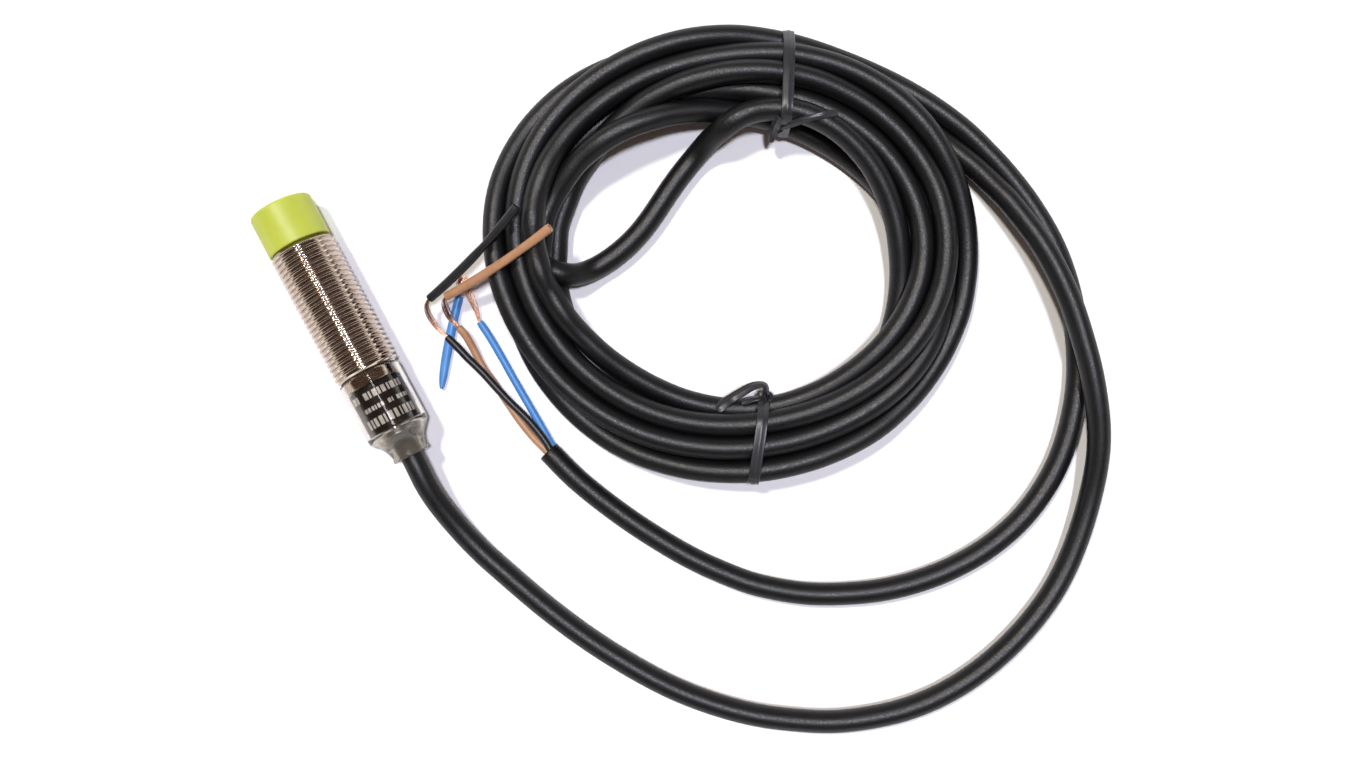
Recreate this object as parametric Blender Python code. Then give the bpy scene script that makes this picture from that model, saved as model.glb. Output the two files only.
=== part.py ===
"""M12 inductive proximity sensor with a moulded 2 m lead, lying on the surface z = 0.

The barrel lies along X with its sensing face towards +X, and the origin is under the middle of the
sensor on the surface that it lies on.  The lead leaves the rear cover, runs in a wide loop into a coil
that two wire ties hold, and ends in three cores with half pulled insulation slugs.
Lengths below are in millimetres and become metres through MM.
"""

import math

import bmesh
import bpy
from mathutils import Matrix, Vector

MM = 0.001

# Driving dimensions of the sensor, along X from the sensing face (+) to the lead's exit (-)
FACE_X = 25.6
CAP_LENGTH = 8.15
THREAD_LENGTH = 26.2
COVER_LENGTH = 11.6
BOOT_LENGTH = 5.25
THREAD_RADIUS = 5.95
THREAD_PITCH = 1.0
THREAD_DEPTH = 0.55
CAP_RADIUS = 5.85
COVER_RADIUS = 5.8
BARREL_BORE = 4.4
SPIGOT_RADIUS = 4.95
SPIGOT_LENGTH = 2.15
COLLAR_RADIUS = 3.35
GAP = 0.3
CLOSE_GAP = 0.15
SIDES = 24

# The lead and its cores
CABLE_RADIUS = 2.1
CORE_RADIUS = 0.7
STRANDS_RADIUS = 0.3
SLUG_RADIUS = 0.75
SLUG_BORE = 0.55

# The coil: an oval ring, its middle line and its section
COIL_CENTRE = (-21.0, -68.2)
COIL_LONG = 38.4
COIL_SHORT = 33.5
COIL_TURN = 51.0
COIL_HALF_WIDTH = 7.4
COIL_TOP = 7.2
COIL_BOTTOM = 0.9
TIE_WIDTH = 2.1
TIE_THICKNESS = 0.5

# Places that follow from the driving dimensions
AXIS_Z = THREAD_RADIUS
THREAD_FRONT = FACE_X - CAP_LENGTH
THREAD_REAR = THREAD_FRONT - THREAD_LENGTH
COVER_REAR = THREAD_REAR - COVER_LENGTH
EXIT_X = COVER_REAR - BOOT_LENGTH

# Routes, as points chosen by hand
TAIL_FROM_SENSOR = [
    (-22.8, 0.0, 5.95), (-25.25, 0.0, 5.95), (-28.2, 0.1, 5.9), (-31.8, 0.3, 5.3), (-36.0, 0.1, 4.1),
    (-41.1, -0.7, 2.9), (-46.0, -1.9, 2.25), (-50.4, -3.4, 2.1), (-63.0, -8.4, 2.1),
    (-74.7, -14.3, 2.1), (-86.3, -21.9, 2.1), (-95.7, -30.7, 2.1), (-102.2, -39.5, 2.1),
    (-106.5, -47.6, 2.1), (-109.6, -58.0, 2.1), (-110.2, -68.2, 2.1), (-108.5, -78.7, 2.1),
    (-104.7, -88.9, 2.1), (-99.4, -97.2, 2.2), (-91.2, -105.5, 3.0), (-82.2, -111.6, 5.0),
    (-72.0, -115.4, 6.4), (-61.4, -117.9, 6.6), (-53.9, -118.9, 6.5), (-45.8, -119.0, 6.2),
    (-37.6, -118.0, 5.4), (-30.5, -116.5, 5.0), (-23.4, -114.2, 4.8),
]
TAIL_TO_WIRES = [
    (-12.6, -112.9, 2.1), (-17.5, -115.6, 2.1), (-25.1, -118.9, 2.1), (-33.0, -120.9, 2.1),
    (-40.7, -121.9, 2.1), (-47.9, -121.9, 2.1), (-55.3, -120.7, 2.1), (-62.4, -118.4, 2.1),
    (-69.2, -115.2, 2.1), (-74.6, -111.6, 2.1), (-80.2, -106.6, 2.1), (-84.6, -101.0, 2.1),
    (-88.1, -94.1, 2.1), (-90.0, -87.1, 2.1), (-90.6, -80.1, 2.1), (-90.1, -72.9, 2.1),
    (-88.5, -65.6, 2.1), (-85.8, -58.6, 2.1), (-81.9, -51.3, 2.1), (-76.6, -44.5, 2.1),
    (-71.7, -40.0, 2.1), (-65.9, -35.6, 2.1), (-58.7, -31.2, 2.1), (-51.4, -27.4, 2.1),
    (-43.5, -24.0, 2.1), (-36.6, -21.9, 2.1),
]
INNER_LOOP = [
    (0.5, -75.7, 3.6), (-0.4, -73.2, 2.8), (-1.4, -70.6, 2.2), (-2.6, -67.6, 2.1), (-4.3, -64.2, 2.1),
    (-6.5, -60.6, 2.1), (-8.6, -56.6, 2.1), (-10.0, -52.3, 2.1), (-10.7, -48.1, 2.1),
    (-10.7, -44.2, 2.1), (-9.6, -40.9, 2.1),
]
CORES = {
    "black": [(-36.2, -22.1, 2.9), (-33.5, -21.6, 3.2), (-27.3, -20.1, 3.5), (-20.6, -17.9, 3.7),
              (-14.4, -15.4, 3.6), (-9.8, -14.4, 3.4)],
    "brown": [(-36.2, -21.2, 1.5), (-30.5, -18.8, 1.3), (-23.4, -17.4, 1.3), (-15.2, -17.3, 2.0),
              (-9.4, -17.3, 2.9)],
    "blue": [(-36.2, -22.8, 1.5), (-33.0, -22.1, 1.3), (-28.2, -20.9, 1.0), (-21.7, -20.4, 0.8),
             (-14.2, -20.6, 0.8), (-8.8, -21.2, 0.85)],
}
STRANDS = {
    "black": [(-9.45, -14.33, 3.4), (-6.8, -13.8, 3.6), (-4.2, -13.5, 4.1), (-2.6, -14.0, 4.75),
              (-1.98, -15.2, 5.2)],
    "brown": [(-9.05, -17.3, 2.97), (-7.0, -16.95, 3.4), (-5.0, -16.9, 4.15), (-3.6, -17.3, 4.9),
              (-3.0, -18.2, 5.4)],
    "blue": [(-8.45, -21.25, 0.86), (-6.0, -22.0, 0.95), (-3.6, -22.7, 1.0), (-1.9, -23.2, 1.1),
             (-0.9, -23.15, 1.15), (-0.45, -22.7, 1.15), (-0.9, -22.2, 1.05), (-2.0, -21.6, 0.9)],
}
# Each slug: the end on the strands' side, the free end, and how far the strands reach inside it
SLUGS = {
    "black": ((-1.8, -16.1, 5.4), (4.4, -38.3, 11.8), 18.0),
    "brown": ((-2.9, -19.0, 5.6), (-1.8, -41.9, 12.9), 18.0),
    "blue": ((-3.3, -20.6, 0.85), (-16.9, -9.6, 0.85), 13.0),
}


# ---------------------------------------------------------------- materials
def material(name, colour, roughness, metallic=0.0, alpha=1.0):
    made = bpy.data.materials.new(name)
    made.use_nodes = True
    shader = made.node_tree.nodes["Principled BSDF"]
    shader.inputs["Base Color"].default_value = (*colour, 1.0)
    shader.inputs["Roughness"].default_value = roughness
    shader.inputs["Metallic"].default_value = metallic
    shader.inputs["Alpha"].default_value = alpha
    made.diffuse_color = (*colour, alpha)
    return made


MATERIALS = {
    "cap_plastic": material("cap_plastic", (0.56, 0.66, 0.10), 0.45),
    "nickel_brass": material("nickel_brass", (0.62, 0.58, 0.55), 0.22, 1.0),
    "clear_cover": material("clear_cover", (0.20, 0.18, 0.16), 0.12, 0.0, 0.45),
    "label_film": material("label_film", (0.015, 0.015, 0.018), 0.3),
    "pvc_jacket": material("pvc_jacket", (0.025, 0.026, 0.028), 0.42),
    "pvc_brown": material("pvc_brown", (0.55, 0.27, 0.13), 0.4),
    "pvc_blue": material("pvc_blue", (0.05, 0.22, 0.62), 0.4),
    "pvc_black": material("pvc_black", (0.03, 0.03, 0.033), 0.4),
    "copper": material("copper", (0.80, 0.42, 0.27), 0.28, 1.0),
    "ferrite": material("ferrite", (0.06, 0.06, 0.06), 0.7),
    "bobbin_nylon": material("bobbin_nylon", (0.75, 0.73, 0.68), 0.5),
    "board_laminate": material("board_laminate", (0.02, 0.16, 0.07), 0.4),
    "chip_epoxy": material("chip_epoxy", (0.03, 0.03, 0.03), 0.55),
    "ceramic": material("ceramic", (0.55, 0.42, 0.30), 0.5),
    "led_lens": material("led_lens", (0.75, 0.10, 0.06), 0.2),
    "potting_resin": material("potting_resin", (0.05, 0.045, 0.04), 0.4),
    "zinc_steel": material("zinc_steel", (0.60, 0.60, 0.60), 0.35, 1.0),
    "tie_plastic": material("tie_plastic", (0.07, 0.07, 0.075), 0.45),
}


# ---------------------------------------------------------------- mesh helpers
def metres(point):
    return Vector(point) * MM


def add_object(name, mesh, slot, parent=None):
    made = bpy.data.objects.new(name, mesh)
    bpy.context.collection.objects.link(made)
    mesh.materials.append(MATERIALS[slot])
    made.parent = parent
    return made


def finish_mesh(bm, name, smooth=True):
    bmesh.ops.recalc_face_normals(bm, faces=bm.faces)
    mesh = bpy.data.meshes.new(name)
    bm.to_mesh(mesh)
    bm.free()
    if smooth:
        mesh.shade_smooth()
        mesh.set_sharp_from_angle(angle=math.radians(35))
    return mesh


def turned(name, profile, slot, parent, sides=SIDES):
    """Turns (x, radius) points about X.  A profile that starts on the axis is solid, any other is a ring."""
    bm = bmesh.new()
    verts = [bm.verts.new((x * MM, 0.0, radius * MM)) for x, radius in profile]
    solid = profile[0][1] == 0.0
    ends = verts[1:] if solid else verts[1:] + verts[:1]
    edges = [bm.edges.new(pair) for pair in zip(verts, ends)]
    bmesh.ops.spin(bm, geom=verts + edges, cent=(0, 0, 0), axis=(1, 0, 0), angle=math.tau,
                   steps=sides, use_merge=True, use_duplicate=False)
    bmesh.ops.remove_doubles(bm, verts=bm.verts, dist=1e-6)
    return add_object(name, finish_mesh(bm, name), slot, parent)


def block(name, size, centre, slot, parent, bevel=0.08):
    bm = bmesh.new()
    bmesh.ops.create_cube(bm, size=1.0)
    bmesh.ops.scale(bm, vec=metres(size), verts=bm.verts)
    bmesh.ops.bevel(bm, geom=bm.edges[:], offset=bevel * MM, segments=1, affect="EDGES")
    made = add_object(name, finish_mesh(bm, name, smooth=False), slot, parent)
    made.location = metres(centre)
    return made


def smooth_route(points, step):
    """Reads a Catmull-Rom curve through the points at about every step, both ends kept."""
    route = [Vector(p) for p in points]
    route = [2 * route[0] - route[1], *route, 2 * route[-1] - route[-2]]
    fine = []
    for a, b, c, d in zip(route, route[1:], route[2:], route[3:]):
        for k in range(24):
            t = k / 24
            fine.append(0.5 * (2 * b + (c - a) * t + (2 * a - 5 * b + 4 * c - d) * t * t
                               + (3 * b - a - 3 * c + d) * t ** 3))
    fine.append(route[-2])
    lengths = [0.0]
    for here, there in zip(fine, fine[1:]):
        lengths.append(lengths[-1] + (there - here).length)
    count = max(2, round(lengths[-1] / step))
    read, at = [], 0
    for k in range(count + 1):
        wanted = lengths[-1] * k / count
        while at < len(fine) - 2 and lengths[at + 1] < wanted:
            at += 1
        share = (wanted - lengths[at]) / (lengths[at + 1] - lengths[at])
        read.append(fine[at].lerp(fine[at + 1], min(1.0, max(0.0, share))))
    return read


def tube(name, points, radius, step, slot, bevel_resolution=2):
    """A round cord along a smooth route: a curve with a bevel and filled caps."""
    curve = bpy.data.curves.new(name, "CURVE")
    curve.dimensions = "3D"
    curve.bevel_depth = radius * MM
    curve.bevel_resolution = bevel_resolution
    curve.use_fill_caps = True
    curve.render_resolution_u = 0
    spline = curve.splines.new("POLY")
    route = smooth_route(points, step)
    spline.points.add(len(route) - 1)
    for slot_point, place in zip(spline.points, route):
        slot_point.co = (*(place * MM), 1.0)
    return add_object(name, curve, slot)


def hide_helper(helper):
    helper.hide_render = True
    helper.display_type = "WIRE"


def combine(target, helper, operation):
    hide_helper(helper)
    change = target.modifiers.new(f"{operation.lower()}_{helper.name}", "BOOLEAN")
    change.operation = operation
    change.object = helper
    change.solver = "EXACT"


# ---------------------------------------------------------------- sensing head
def make_cap(parent):
    """Cup with a spigot that is glued into the barrel's front."""
    shoulder = THREAD_FRONT + GAP
    spigot = BARREL_BORE - CLOSE_GAP
    inner = 3.85
    return turned("sensing_cap", [
        (FACE_X, 0.0), (FACE_X, CAP_RADIUS - 0.45), (FACE_X - 0.15, CAP_RADIUS - 0.15),
        (FACE_X - 0.45, CAP_RADIUS), (shoulder + 0.15, CAP_RADIUS), (shoulder, CAP_RADIUS - 0.15),
        (shoulder, spigot), (12.4, spigot), (12.25, spigot - 0.12), (12.25, inner),
        (FACE_X - 1.0, inner), (FACE_X - 1.0, 0.0)], "cap_plastic", parent)


def make_head_parts(parent):
    """Pot core, its bobbin and winding behind the sensing face, and the two lead wires to the board."""
    front = FACE_X - 1.0 - GAP
    core = turned("ferrite_core", [
        (front, 0.0), (front, 1.3), (front - 3.0, 1.3), (front - 3.0, 3.2), (front, 3.2),
        (front, 3.6), (front - 3.95, 3.6), (front - 3.95, 0.0)], "ferrite", parent)
    for side, sign in (("a", 1), ("b", -1)):
        slot = block(f"core_slot_{side}", (6.0, 1.1, 0.9), (front - 1.8, sign * 3.4, 0.0), "ferrite", parent)
        combine(core, slot, "DIFFERENCE")
    turned("coil_bobbin", [
        (front - 0.1, 1.5), (front - 0.1, 3.05), (front - 0.4, 3.05), (front - 0.4, 1.8),
        (front - 2.4, 1.8), (front - 2.4, 3.05), (front - 2.7, 3.05), (front - 2.7, 1.5)],
        "bobbin_nylon", parent)
    turned("sensing_coil", [
        (front - 0.6, 1.95), (front - 0.6, 2.8), (front - 0.75, 2.95), (front - 2.05, 2.95),
        (front - 2.2, 2.8), (front - 2.2, 1.95)], "copper", parent)
    for side, sign in (("a", 1), ("b", -1)):
        lead = tube(f"coil_lead_{side}", [
            (front - 1.5, sign * 3.4, 0.0), (front - 4.6, sign * 3.4, 0.0), (18.0, sign * 2.7, 0.5),
            (16.4, sign * 2.2, 0.95), (15.2, sign * 2.1, 0.95)], 0.15, 0.8, "copper")
        lead.parent = parent


# ---------------------------------------------------------------- barrel
def thread_rod(name, start, end, sides=20):
    """A solid rod with one helical V thread: a strip of roots and crests wound around X."""
    turns = math.ceil((end - start) / THREAD_PITCH) + 2
    root = THREAD_RADIUS - THREAD_DEPTH
    bm = bmesh.new()
    steps = turns * sides

    def ring(radius, shift):
        made = []
        for k in range(steps + 1):
            turn = math.tau * k / sides
            x = start - THREAD_PITCH + THREAD_PITCH * (k / sides + shift)
            made.append(bm.verts.new((x * MM, radius * MM * math.cos(turn), radius * MM * math.sin(turn))))
        return made

    roots, crests = ring(root, 0.0), ring(THREAD_RADIUS, 0.5)
    for k in range(steps):
        bm.faces.new((roots[k], crests[k], crests[k + 1], roots[k + 1]))
        if k + sides < steps:
            bm.faces.new((crests[k], roots[k + sides], roots[k + sides + 1], crests[k + 1]))
    first = roots[:sides + 1] + [crests[0]]
    last = crests[steps - sides:] + [roots[steps]]
    for loop, x in ((first, start - THREAD_PITCH), (last, end + THREAD_PITCH)):
        hub = bm.verts.new((x * MM, 0.0, 0.0))
        for here, there in zip(loop, loop[1:] + loop[:1]):
            bm.faces.new((hub, here, there))
    return finish_mesh(bm, name)


def make_barrel(parent):
    """Externally threaded tube, chamfered, with a plain spigot inside the rear cover."""
    barrel = add_object("threaded_barrel", thread_rod("threaded_barrel", THREAD_REAR - SPIGOT_LENGTH,
                                                      THREAD_FRONT), "nickel_brass", parent)
    outer, chamfer = THREAD_RADIUS + 0.25, 0.7
    blank = turned("barrel_blank", [
        (THREAD_FRONT, BARREL_BORE), (THREAD_FRONT, outer - chamfer), (THREAD_FRONT - chamfer, outer),
        (THREAD_REAR + chamfer, outer), (THREAD_REAR, outer - chamfer), (THREAD_REAR, SPIGOT_RADIUS),
        (THREAD_REAR - SPIGOT_LENGTH, SPIGOT_RADIUS), (THREAD_REAR - SPIGOT_LENGTH, BARREL_BORE)],
        "nickel_brass", parent)
    combine(barrel, blank, "INTERSECT")


# ---------------------------------------------------------------- board and potting
def make_board(parent):
    """The printed board with its parts, all on its upper face."""
    rear, front, half_width, thickness = -14.6, 15.6, 3.15, 0.8
    block("circuit_board", (front - rear, 2 * half_width, thickness), ((front + rear) / 2, 0.0, 0.0),
          "board_laminate", parent, 0.05)
    top = thickness / 2 + CLOSE_GAP
    parts = {
        "oscillator_ic": ((4.9, 3.9, 1.2), 9.0, 0.0, "chip_epoxy"),
        "output_transistor": ((2.9, 1.5, 1.0), -0.6, -1.2, "chip_epoxy"),
        "protection_diode": ((2.6, 1.5, 1.0), -4.6, 1.3, "chip_epoxy"),
        "supply_capacitor": ((3.2, 1.7, 1.25), 3.6, -1.3, "ceramic"),
        "filter_capacitor": ((2.0, 1.25, 0.9), 4.4, 1.6, "ceramic"),
        "tuning_capacitor": ((1.6, 0.8, 0.7), 13.2, 0.0, "ceramic"),
        "bias_resistor_1": ((1.6, 0.8, 0.5), 1.4, 1.6, "chip_epoxy"),
        "bias_resistor_2": ((1.6, 0.8, 0.5), -1.2, 1.6, "chip_epoxy"),
        "led_resistor": ((1.6, 0.8, 0.5), -7.4, -1.4, "chip_epoxy"),
        "indicator_led": ((1.6, 0.9, 0.8), -10.2, 0.0, "led_lens"),
    }
    for name, (size, x, y, slot) in parts.items():
        block(name, size, (x, y, top + size[2] / 2), slot, parent)


def make_potting(parent):
    """Resin that fills the barrel around the board, with the channel that the board lies in."""
    front, rear, radius = 12.25 - GAP, THREAD_REAR - SPIGOT_LENGTH + GAP, BARREL_BORE - CLOSE_GAP
    resin = turned("potting_resin", [(front, 0.0), (front, radius), (rear, radius), (rear, 0.0)],
                   "potting_resin", parent)
    channel = block("board_channel", (40.0, 6.9, 2.9), (0.0, 0.0, 0.7), "potting_resin", parent, 0.2)
    combine(resin, channel, "DIFFERENCE")


# ---------------------------------------------------------------- rear cover
def make_rear(parent):
    """Clear rear cover with its waisted boot, the label inside it, the lead's clamp and the core ends."""
    mouth = THREAD_REAR - GAP
    bore = CABLE_RADIUS + 0.25
    turned("rear_cover", [
        (mouth, SPIGOT_RADIUS + CLOSE_GAP), (mouth, COVER_RADIUS - 0.15), (mouth - 0.15, COVER_RADIUS),
        (COVER_REAR, COVER_RADIUS), (COVER_REAR - 0.4, 5.6), (COVER_REAR - 1.1, 5.0),
        (COVER_REAR - 1.8, 4.3), (COVER_REAR - 2.6, 3.75), (COVER_REAR - 3.6, 3.4),
        (EXIT_X + 0.7, 3.25), (EXIT_X + 0.6, COLLAR_RADIUS), (EXIT_X + 0.1, COLLAR_RADIUS),
        (EXIT_X, COLLAR_RADIUS - 0.1), (EXIT_X, bore), (COVER_REAR - 2.6, bore),
        (COVER_REAR - 1.2, 3.7), (COVER_REAR + 0.4, 4.6), (COVER_REAR + 0.4, SPIGOT_RADIUS + CLOSE_GAP)],
        "clear_cover", parent)
    label_front, label_rear = THREAD_REAR - SPIGOT_LENGTH - GAP, COVER_REAR + 0.7
    turned("label_sleeve", [
        (label_front, 4.65), (label_front, 4.9), (label_rear, 4.9), (label_rear, 4.65)],
        "label_film", parent)
    turned("cable_clamp", [
        (-18.6, CABLE_RADIUS + 0.2), (-18.6, 3.2), (-20.6, 3.2), (-20.6, CABLE_RADIUS + 0.2)],
        "zinc_steel", parent, 20)
    turned("jacket_inner_end", [
        (-17.6, 0.0), (-17.6, CABLE_RADIUS), (-22.5, CABLE_RADIUS), (-22.5, 0.0)],
        "pvc_jacket", parent, 16)
    for colour, y in (("brown", 2.0), ("black", 0.0), ("blue", -2.0)):
        stub = tube(f"core_stub_{colour}", [
            (-17.3, y * 0.45, 0.0 if y else 0.9), (-15.4, y * 0.9, 0.9), (-13.4, y, 1.3), (-12.2, y, 1.3)],
            0.6, 1.2, f"pvc_{colour}")
        stub.parent = parent


# ---------------------------------------------------------------- lead, coil and ties
def coil_point(degrees, outwards=0.0):
    """A point on the ring's oval middle line, moved outwards, and the direction outwards there."""
    angle = math.radians(degrees - COIL_TURN)
    turn = Matrix.Rotation(math.radians(COIL_TURN), 3, "Z")
    spot = turn @ Vector((COIL_LONG * math.cos(angle), COIL_SHORT * math.sin(angle), 0.0))
    normal = (turn @ Vector((math.cos(angle) / COIL_LONG, math.sin(angle) / COIL_SHORT, 0.0))).normalized()
    return Vector((*COIL_CENTRE, 0.0)) + spot + normal * outwards, normal


def coil_section(clear=0.0):
    """The bundle's outline as (outwards, height): flat below, shouldered above."""
    half, top, bottom = COIL_HALF_WIDTH + clear, COIL_TOP + clear, COIL_BOTTOM - clear
    return [(-half, bottom + 0.8), (-half + 0.8, bottom), (half - 0.8, bottom), (half, bottom + 0.8),
            (half, 4.0), (half - 2.6, top), (-half + 2.6, top), (-half, 4.0)]


def make_coil(sides=48):
    bm = bmesh.new()
    section = coil_section()
    rows = []
    for k in range(sides):
        row = []
        for outwards, height in section:
            spot, _ = coil_point(360.0 * k / sides, outwards)
            row.append(bm.verts.new((spot.x * MM, spot.y * MM, height * MM)))
        rows.append(row)
    for here, there in zip(rows, rows[1:] + rows[:1]):
        for k in range(len(section)):
            after = (k + 1) % len(section)
            bm.faces.new((here[k], here[after], there[after], there[k]))
    add_object("cable_coil", finish_mesh(bm, "cable_coil"), "pvc_jacket")


def make_band(name, path, width, thickness, side=None):
    """A strip along a path.  With a side it is a closed loop whose width lies along that side, and
    without one it is an open tail that lies flat."""
    bm = bmesh.new()
    closed = side is not None
    count = len(path)
    rows = []
    for k, spot in enumerate(path):
        before = path[(k - 1) % count] if closed or k else spot
        after = path[(k + 1) % count] if closed or k < count - 1 else spot
        across = side if closed else Vector((0.0, 0.0, 1.0)).cross(after - before).normalized()
        lift = (after - before).cross(across).normalized()
        rows.append([bm.verts.new((spot + across * width * u / 2 + lift * thickness * v / 2) * MM)
                     for u, v in ((1, 1), (-1, 1), (-1, -1), (1, -1))])
    spans = list(zip(rows, rows[1:] + rows[:1])) if closed else list(zip(rows, rows[1:]))
    for here, there in spans:
        for k in range(4):
            after = (k + 1) % 4
            bm.faces.new((here[k], here[after], there[after], there[k]))
    if not closed:
        bm.faces.new(rows[0])
        bm.faces.new(rows[-1])
    return add_object(name, finish_mesh(bm, name, smooth=False), "tie_plastic")


def make_knot(name, centre, size):
    bm = bmesh.new()
    bmesh.ops.create_uvsphere(bm, u_segments=10, v_segments=6, radius=0.5)
    bmesh.ops.scale(bm, vec=metres(size), verts=bm.verts)
    bmesh.ops.translate(bm, vec=metres(centre), verts=bm.verts)
    return add_object(name, finish_mesh(bm, name), "tie_plastic")


def make_tie(name, degrees, tail, tail_width, tail_thickness):
    """A strip closed around the coil, with a twisted knot on the coil's inner side and its tail."""
    middle, normal = coil_point(degrees)
    side = Vector((0.0, 0.0, 1.0)).cross(normal)
    clear = GAP + TIE_THICKNESS / 2
    loop = [middle + normal * u + Vector((0.0, 0.0, z)) for u, z in coil_section(clear)]
    band = make_band(name, loop, TIE_WIDTH, TIE_THICKNESS, side)
    inner_wall = middle - normal * (COIL_HALF_WIDTH + clear)
    knot_spot = inner_wall - normal * 0.7 + Vector((0.0, 0.0, 3.4))
    combine(band, make_knot(f"{name}_knot", knot_spot, (2.6, 2.6, 2.2)), "UNION")
    route = smooth_route([knot_spot, *(Vector(p) for p in tail)], 1.6)
    strip = make_band(f"{name}_tail", route, tail_width, tail_thickness)
    combine(band, strip, "UNION")


def make_lead():
    """The jacketed lead in its stretches, and what is on its stripped end."""
    tube("cable_tail_sensor", TAIL_FROM_SENSOR, CABLE_RADIUS, 9.0, "pvc_jacket")
    tube("cable_inner_loop", INNER_LOOP, CABLE_RADIUS, 5.0, "pvc_jacket")
    tube("cable_tail_wires", TAIL_TO_WIRES, CABLE_RADIUS, 9.0, "pvc_jacket")
    make_coil()
    make_tie("tie_top", -46.5, [(-4.6, -88.2, 7.0), (-5.6, -91.4, 8.6), (-7.4, -95.2, 8.9)], 1.3, 1.3)
    make_tie("tie_bottom", 159.0, [(-44.4, -63.6, 3.4), (-42.6, -61.4, 3.2), (-42.3, -58.0, 2.6),
                                   (-43.0, -55.4, 2.2)], 1.9, 0.6)


def make_slug(colour, start, end):
    """The half pulled insulation: a tube whose object sits on its own axis, which is also its slide."""
    start, end = Vector(start), Vector(end)
    length = (end - start).length
    slug = turned(f"slug_{colour}", [
        (0.0, SLUG_BORE), (0.0, SLUG_RADIUS), (length, SLUG_RADIUS), (length, SLUG_BORE)],
        f"pvc_{colour}", None, 12)
    slug.location = metres(start)
    slug.rotation_mode = "QUATERNION"
    slug.rotation_quaternion = (end - start).to_track_quat("X", "Z")


def make_wire_ends():
    for colour, points in CORES.items():
        tube(f"core_{colour}", points, CORE_RADIUS, 2.6, f"pvc_{colour}")
    for colour, (start, end, reach) in SLUGS.items():
        make_slug(colour, start, end)
        along = (Vector(end) - Vector(start)).normalized()
        inside = [Vector(start) + along * s for s in (0.4, reach * 0.5, reach)]
        tube(f"strands_{colour}", [*STRANDS[colour], *inside], STRANDS_RADIUS, 1.3, "copper")


def main():
    sensor = bpy.data.objects.new("sensor_axis", None)
    bpy.context.collection.objects.link(sensor)
    sensor.location = (0.0, 0.0, AXIS_Z * MM)
    make_cap(sensor)
    make_head_parts(sensor)
    make_barrel(sensor)
    make_board(sensor)
    make_potting(sensor)
    make_rear(sensor)
    make_lead()
    make_wire_ends()


for old in list(bpy.data.objects):
    bpy.data.objects.remove(old)
main()
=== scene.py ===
import math

import bpy
import numpy as np
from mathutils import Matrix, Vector


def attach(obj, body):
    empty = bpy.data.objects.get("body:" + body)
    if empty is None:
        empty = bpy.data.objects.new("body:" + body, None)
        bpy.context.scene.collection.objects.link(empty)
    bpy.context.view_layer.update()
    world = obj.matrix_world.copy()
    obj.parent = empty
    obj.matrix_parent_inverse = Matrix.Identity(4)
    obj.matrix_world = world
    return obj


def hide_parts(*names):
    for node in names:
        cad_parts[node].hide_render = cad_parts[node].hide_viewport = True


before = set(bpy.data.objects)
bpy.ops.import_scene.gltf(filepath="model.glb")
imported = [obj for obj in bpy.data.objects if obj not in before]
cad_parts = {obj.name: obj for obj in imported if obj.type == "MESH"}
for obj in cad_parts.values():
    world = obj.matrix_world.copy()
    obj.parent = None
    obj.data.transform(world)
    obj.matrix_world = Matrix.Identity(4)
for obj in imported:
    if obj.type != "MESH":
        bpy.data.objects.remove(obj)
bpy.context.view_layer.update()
mm = 0.001
axisHeight = 5.95  # mm, the sensor's axis above the table
print("frame loaded")


# Small tools: colour, nodes, routes and skins
def linearColour(code):  # sRGB hex to linear light
    parts = np.array([int(code[i:i + 2], 16) for i in (1, 3, 5)]) / 255
    linear = np.where(parts <= 0.04045, parts / 12.92, ((parts + 0.055) / 1.055) ** 2.4)
    return (*linear.tolist(), 1.0)


def addNode(tree, kind, sockets=None, links=None, **settings):  # a node with its settings and links
    node = tree.nodes.new(kind)
    for name, value in settings.items():
        setattr(node, name, value)
    for name, value in (sockets or {}).items():
        node.inputs[name].default_value = value
    for name, source in (links or {}).items():
        tree.links.new(source, node.inputs[name])
    return node


def unit(vectors):  # each vector over its length
    vectors = np.asarray(vectors, float)
    return vectors / np.linalg.norm(vectors, axis=-1, keepdims=True)


def evenSteps(points, step):  # the same line with points at equal distances
    lengths = np.concatenate([[0.0], np.cumsum(np.linalg.norm(np.diff(points, axis=0), axis=1))])
    count = max(int(round(lengths[-1] / step)), 2)
    marks = np.linspace(0.0, lengths[-1], count + 1)
    return np.stack([np.interp(marks, lengths, points[:, k]) for k in range(points.shape[1])], axis=1)


def smoothRoute(points, step):
    # Catmull-Rom: between two points a cubic leaves and arrives along the line that joins their neighbours
    points = np.asarray(points, float)
    points = np.vstack([2 * points[0] - points[1], points, 2 * points[-1] - points[-2]])
    a, b, c, d = (points[k:len(points) - 3 + k][:, None] for k in range(4))
    t = (np.arange(24) / 24)[None, :, None]
    curve = 0.5 * (2 * b + (c - a) * t + (2 * a - 5 * b + 4 * c - d) * t ** 2
                   + (3 * b - a - 3 * c + d) * t ** 3)
    return evenSteps(np.vstack([curve.reshape(-1, points.shape[1]), points[-2:-1]]), step)


def routeFrames(route):  # at each point: along the route, level sideways, and the third direction
    along = unit(np.gradient(route, axis=0))
    sideways = unit(np.cross([0.0, 0.0, 1.0], along))
    return along, sideways, np.cross(along, sideways)


def circle(sides):  # cosine and sine of equal steps around
    turn = np.arange(sides) * math.tau / sides
    return np.stack([np.cos(turn), np.sin(turn)], axis=1)


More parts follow.
